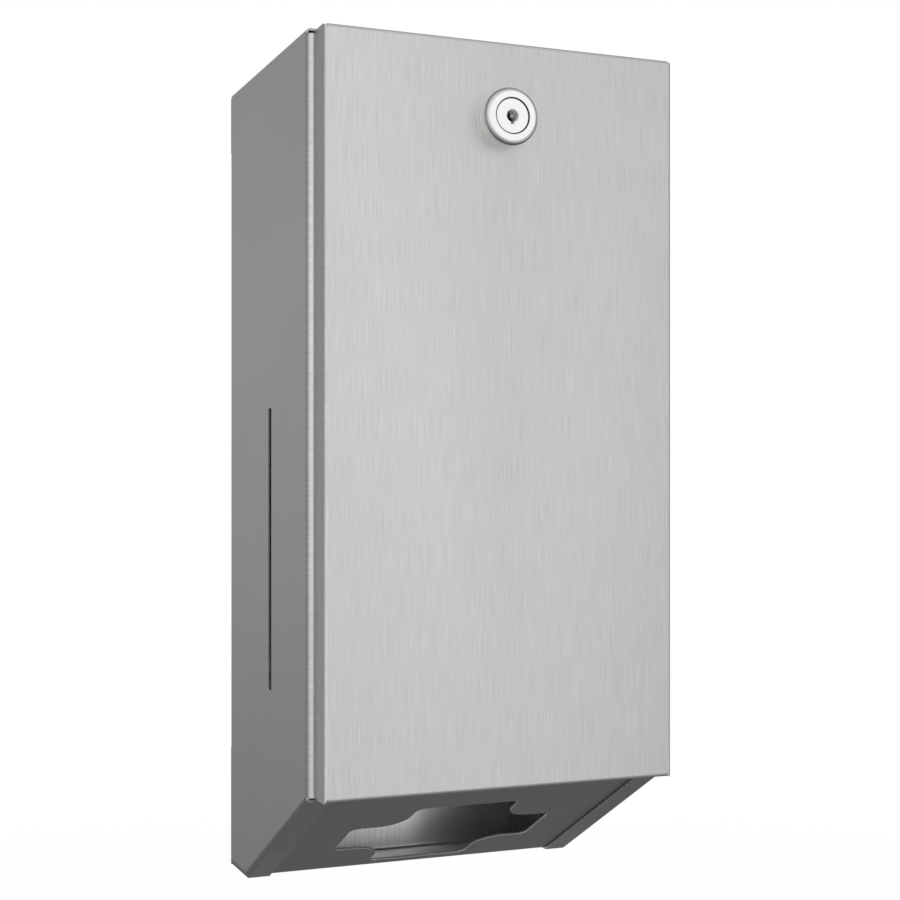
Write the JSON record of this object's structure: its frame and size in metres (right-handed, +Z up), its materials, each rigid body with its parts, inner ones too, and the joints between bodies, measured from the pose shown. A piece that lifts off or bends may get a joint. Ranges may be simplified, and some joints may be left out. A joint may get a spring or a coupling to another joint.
{
  "type": "toilet tissue dispenser",
  "caption": "Slim wall dispenser for folded toilet tissue, brushed stainless sheet, locked front door hinged at its lower edge, sloping underside with a scalloped slot.",
  "frame": {"origin": "level with the flat bottom, centred across the width and between the lock's face and the wall plane", "axes": "+X to the right seen from the front, +Y back to the wall, +Z up; the door faces -Y"},
  "size_m": [0.1308, 0.1172, 0.2934],
  "materials": {
    "brushed_stainless": "satin brushed along the height",
    "plain_stainless": "mill finish with a light grain",
    "zinc_plated": "bright zinc plate",
    "polished_chrome": "polished",
    "brass": "plain"
  },
  "bodies": {
    "housing": {"side_panel_left": "brushed_stainless", "side_panel_right": "brushed_stainless", "back_panel": "plain_stainless", "top_panel": "brushed_stainless", "chute_panel": "brushed_stainless", "hinge_leaf_body": "plain_stainless", "hinge_rod": "zinc_plated", "hinge_rivet_body_1": "zinc_plated", "hinge_rivet_body_2": "zinc_plated", "hinge_rivet_body_3": "zinc_plated", "hinge_rivet_body_4": "zinc_plated"},
    "door": {"door_panel": "brushed_stainless", "hinge_leaf_door": "plain_stainless", "hinge_rivet_door_1": "zinc_plated", "hinge_rivet_door_2": "zinc_plated", "hinge_rivet_door_3": "zinc_plated", "hinge_rivet_door_4": "zinc_plated", "lock_housing": "polished_chrome", "lock_washer": "zinc_plated", "lock_nut": "zinc_plated"},
    "lock_core": {"lock_plug": "polished_chrome", "lock_centre_pin": "zinc_plated", "lock_wafer_1": "brass", "lock_wafer_2": "brass", "lock_wafer_3": "brass", "lock_wafer_4": "brass", "lock_cam": "zinc_plated", "lock_cam_washer": "zinc_plated", "lock_cam_screw": "zinc_plated"}
  },
  "joints": [
    {"name": "door_hinge", "type": "hinge", "parent": "housing", "child": "door", "pos_m": [0, -0.04383, 0.04515], "axis": [1, 0, 0], "range_deg": [0, 95]},
    {"name": "lock_turn", "type": "hinge", "parent": "door", "child": "lock_core", "pos_m": [0, -0.05235, 0.2667], "axis": [0, 1, 0], "range_deg": [0, 90]}
  ]
}
